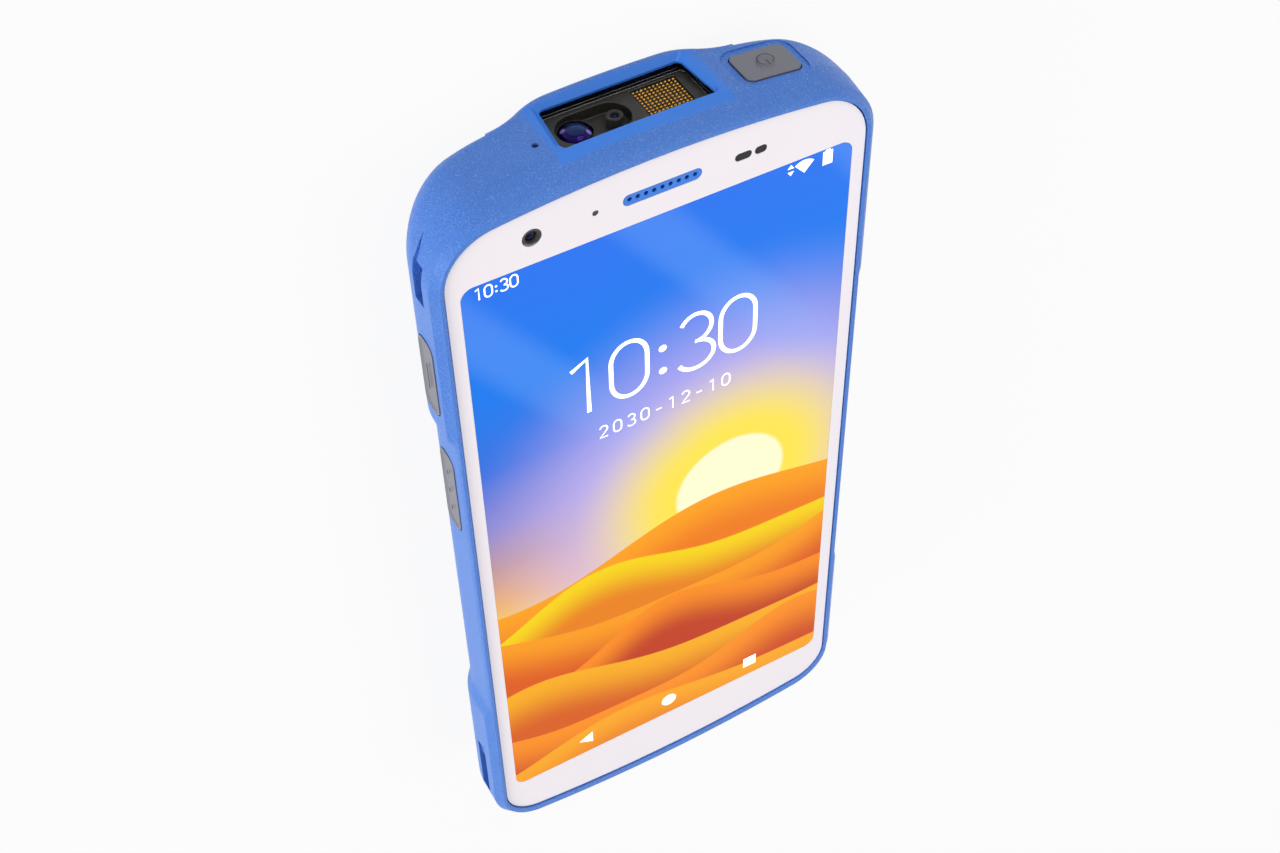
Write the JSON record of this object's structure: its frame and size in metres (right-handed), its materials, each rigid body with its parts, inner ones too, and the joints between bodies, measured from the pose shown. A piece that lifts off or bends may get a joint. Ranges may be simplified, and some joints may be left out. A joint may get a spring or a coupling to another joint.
{
  "type": "portable barcode data terminal",
  "caption": "Handheld data terminal with a touch display, a barcode imager in its top end, side and power keys, and a removable battery pack in its back.",
  "frame": {"origin": "middle of the terminal's box, on the level of the lowest face of its back", "axes": "+X to the right of someone who reads the screen, +Y towards the scanning end, +Z out of the screen"},
  "size_m": [0.0776, 0.1616, 0.0192],
  "materials": {
    "blue_shell": "fine moulded grain",
    "white_panel": "smooth satin",
    "screen_glass": "polished",
    "display_stack": "smooth",
    "key_grey": "fine moulded grain",
    "blue_key": "fine moulded grain",
    "black_plastic": "satin",
    "black_rubber": "matte",
    "clear_pane": "polished",
    "lens_glass": "coated",
    "gold_diffuser": "moulded pyramids",
    "green_board": "solder mask",
    "amber_flex": "film",
    "tin_shield": "tinned",
    "screw_steel": "black zinc",
    "bare_steel": "drawn",
    "cast_magnesium": "as cast",
    "gold_contact": "gold plated",
    "pack_plastic": "fine moulded grain",
    "cell_foil": "foil pouch",
    "lamp_lens": "frosted",
    "dark_window": "polished"
  },
  "bodies": {
    "terminal": {"aimer_barrel": "black_plastic", "aimer_lens": "lens_glass", "antennas": "gold_contact", "battery_terminals": "black_plastic", "board_ribbon": "amber_flex", "board_screws": "bare_steel", "charging_pin_block": "black_plastic", "charging_pins": "gold_contact", "display_glass": "screen_glass", "display_panel": "display_stack", "earpiece_grille": "blue_shell", "earpiece_receiver": "bare_steel", "engine_board": "green_board", "engine_flex": "amber_flex", "flash_lamp": "lamp_lens", "foot_board": "green_board", "front_camera_lens": "lens_glass", "front_camera_module": "black_plastic", "front_camera_ring": "black_plastic", "front_panel": "white_panel", "housing_screws": "screw_steel", "housing_shell": "blue_shell", "illumination_diffuser": "gold_diffuser", "imager_barrel": "black_plastic", "imager_lens": "lens_glass", "left_key_switches": "amber_flex", "loudspeaker": "black_plastic", "main_board": "green_board", "microphones": "tin_shield", "mid_chassis": "cast_magnesium", "panel_gasket": "black_rubber", "power_switch": "bare_steel", "rear_camera_module": "black_plastic", "rear_camera_window": "dark_window", "right_key_switches": "amber_flex", "scan_engine_body": "black_plastic", "scan_window": "clear_pane", "scan_window_gasket": "black_rubber", "sensor_boards": "green_board", "sensor_windows": "dark_window", "shield_cans": "tin_shield", "status_lamp_lens": "lamp_lens", "usb_socket_shell": "bare_steel", "usb_socket_tongue": "black_plastic", "vibration_motor": "bare_steel"},
    "battery_pack": {"battery_cover": "pack_plastic", "battery_contacts": "gold_contact", "battery_cell": "cell_foil", "battery_circuit": "green_board", "battery_lid": "pack_plastic"},
    "latch_left": {"battery_latch_left": "key_grey"},
    "latch_right": {"battery_latch_right": "key_grey"},
    "power_key_body": {"power_key": "key_grey"},
    "talk_key_body": {"left_talk_key": "key_grey"},
    "left_scan_key_body": {"left_scan_key": "key_grey"},
    "volume_key_body": {"right_volume_key": "key_grey"},
    "right_scan_key_body": {"right_scan_key": "key_grey"}
  },
  "joints": [
    {"name": "power_key_press", "type": "slide", "parent": "terminal", "child": "power_key_body", "axis": [0, -1, 0], "range_m": [0, 0.0004], "stiffness_N_per_m": 2000, "springref_m": -0.0004},
    {"name": "talk_key_press", "type": "slide", "parent": "terminal", "child": "talk_key_body", "axis": [1, 0, 0], "range_m": [0, 0.0004], "stiffness_N_per_m": 2000, "springref_m": -0.0004},
    {"name": "left_scan_key_press", "type": "slide", "parent": "terminal", "child": "left_scan_key_body", "axis": [1, 0, 0], "range_m": [0, 0.0004], "stiffness_N_per_m": 2000, "springref_m": -0.0004},
    {"name": "right_scan_key_press", "type": "slide", "parent": "terminal", "child": "right_scan_key_body", "axis": [-1, 0, 0], "range_m": [0, 0.0004], "stiffness_N_per_m": 2000, "springref_m": -0.0004},
    {"name": "volume_key_rock", "type": "hinge", "parent": "terminal", "child": "volume_key_body", "pos_m": [0.0356, 0.047, 0.0138], "axis": [0, 0, 1], "range_deg": [-1.5, 1.5], "stiffness_Nm_per_rad": 0.5},
    {"name": "battery_pack_lift", "type": "slide", "parent": "terminal", "child": "battery_pack", "axis": [0, 0, -1], "range_m": [0, 0.012]},
    {"name": "left_latch_slide", "type": "slide", "parent": "battery_pack", "child": "latch_left", "axis": [1, 0, 0], "range_m": [0, 0.0025], "stiffness_N_per_m": 400, "springref_m": -0.001},
    {"name": "right_latch_slide", "type": "slide", "parent": "battery_pack", "child": "latch_right", "axis": [-1, 0, 0], "range_m": [0, 0.0025], "stiffness_N_per_m": 400, "springref_m": -0.001}
  ]
}
